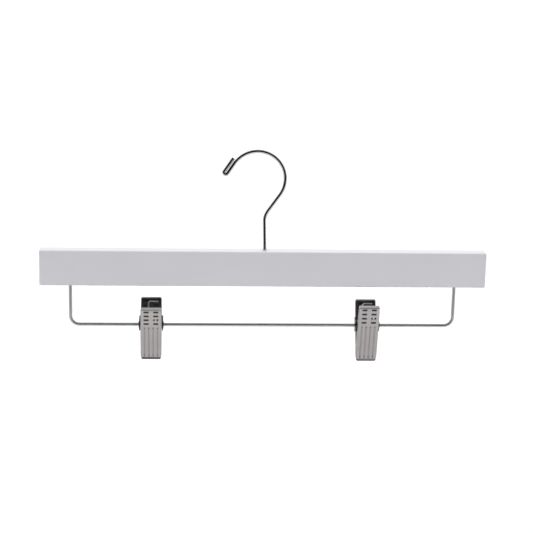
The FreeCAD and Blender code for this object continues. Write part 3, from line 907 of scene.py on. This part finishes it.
def make_floor():
    """A wide matt rectangle, lifted to white for the eye and in gloss, and clear from below."""
    left, right = -floor_half_width, floor_half_width
    outline = [(left, floor_front), (right, floor_front), (right, floor_back), (left, floor_back)]
    mesh = bpy.data.meshes.new("floor")
    mesh.from_pydata([(x, y, floor_level) for x, y in outline], [], [(0, 1, 2, 3)])
    floor = bpy.data.objects.new("floor", mesh)
    bpy.context.scene.collection.objects.link(floor)
    material = bpy.data.materials.new("pale_floor")
    material.use_nodes = True
    tree = material.node_tree
    tree.nodes.clear()
    start = Field(tree)
    matt = start.node("ShaderNodeBsdfDiffuse", {}, {"Color": floor_colour})
    glow = start.node("ShaderNodeEmission", {}, {"Strength": floor_lift})
    lifted = start.node("ShaderNodeAddShader", {}, {0: matt, 1: glow})
    camera_ray, glossy_ray, transmission_ray = ray_kinds(start)
    seen = camera_ray + glossy_ray + transmission_ray
    lit = start.node("ShaderNodeMixShader", {}, {0: seen, 1: matt, 2: lifted})
    under = start.node("ShaderNodeNewGeometry", output="Backfacing")
    clear = start.node("ShaderNodeBsdfTransparent")
    both = start.node("ShaderNodeMixShader", {}, {0: under, 1: lit, 2: clear})
    start.node("ShaderNodeOutputMaterial", {}, {"Surface": both})
    mesh.materials.append(material)


def make_room():
    """A white world, dark on the side where the photograph was taken from.

    The camera sees plain white all round, and so do metal and glass, but for the dark side."""
    world = bpy.data.worlds.new("white_room")
    bpy.context.scene.world = world
    world.use_nodes = True
    tree = world.node_tree
    tree.nodes.clear()
    start = Field(tree)

    def wall(level):
        """White light all round, at a level."""
        return start.node("ShaderNodeBackground", {}, {"Color": white, "Strength": level})

    direction = start.node("ShaderNodeTexCoord", output="Generated")
    dark_side = tuple(towards(camera_azimuth, dark_side_elevation))
    dark = ramp(along(direction, dark_side), dark_side_outer, dark_side_inner)
    room = start.node("ShaderNodeMixShader", {}, {0: dark, 1: wall(room_level), 2: wall(dark_side_level)})
    camera_ray, glossy_ray, transmission_ray = ray_kinds(start)
    seen = camera_ray + (glossy_ray + transmission_ray) * (1 - dark)
    both = start.node("ShaderNodeMixShader", {}, {0: seen, 1: room, 2: wall(backdrop_level)})
    start.node("ShaderNodeOutputWorld", {}, {"Surface": both})


def aimed(place, target, roll=0.0):
    """The matrix of a lamp or camera at a place that looks at a target, rolled about its own view."""
    back = unit(np.array(place) - target)
    right = unit(np.cross(Z_AXIS, back))
    up = np.cross(back, right)
    turned_right = right * math.cos(roll) + up * math.sin(roll)
    turned_up = up * math.cos(roll) - right * math.sin(roll)
    columns = np.stack([turned_right, turned_up, back, place], 1)
    return Matrix(columns.tolist() + [[0, 0, 0, 1]])


def make_sun():
    """A broad, soft sun from the front and above. Gloss comes from the room alone."""
    sun = bpy.data.lights.new("soft_sun", "SUN")
    sun.energy = sun_strength
    sun.angle = sun_softness
    holder = bpy.data.objects.new("soft_sun", sun)
    holder.matrix_world = aimed(np.array(sun_place), np.zeros(3))
    holder.visible_glossy = False
    bpy.context.scene.collection.objects.link(holder)


def make_camera():
    """The camera of the photograph: its place, roll and angle of view."""
    lens = bpy.data.cameras.new("camera")
    lens.sensor_width = sensor_width
    lens.lens = sensor_width * focal_pixels / picture_pixels
    holder = bpy.data.objects.new("camera", lens)
    place = camera_target + towards(camera_azimuth, camera_elevation) * camera_distance
    holder.matrix_world = aimed(place, camera_target, camera_roll)
    bpy.context.scene.collection.objects.link(holder)
    bpy.context.scene.camera = holder


make_floor()
make_room()
make_sun()
make_camera()
bpy.context.scene.view_settings.view_transform = "Standard"

bpy.context.view_layer.update()
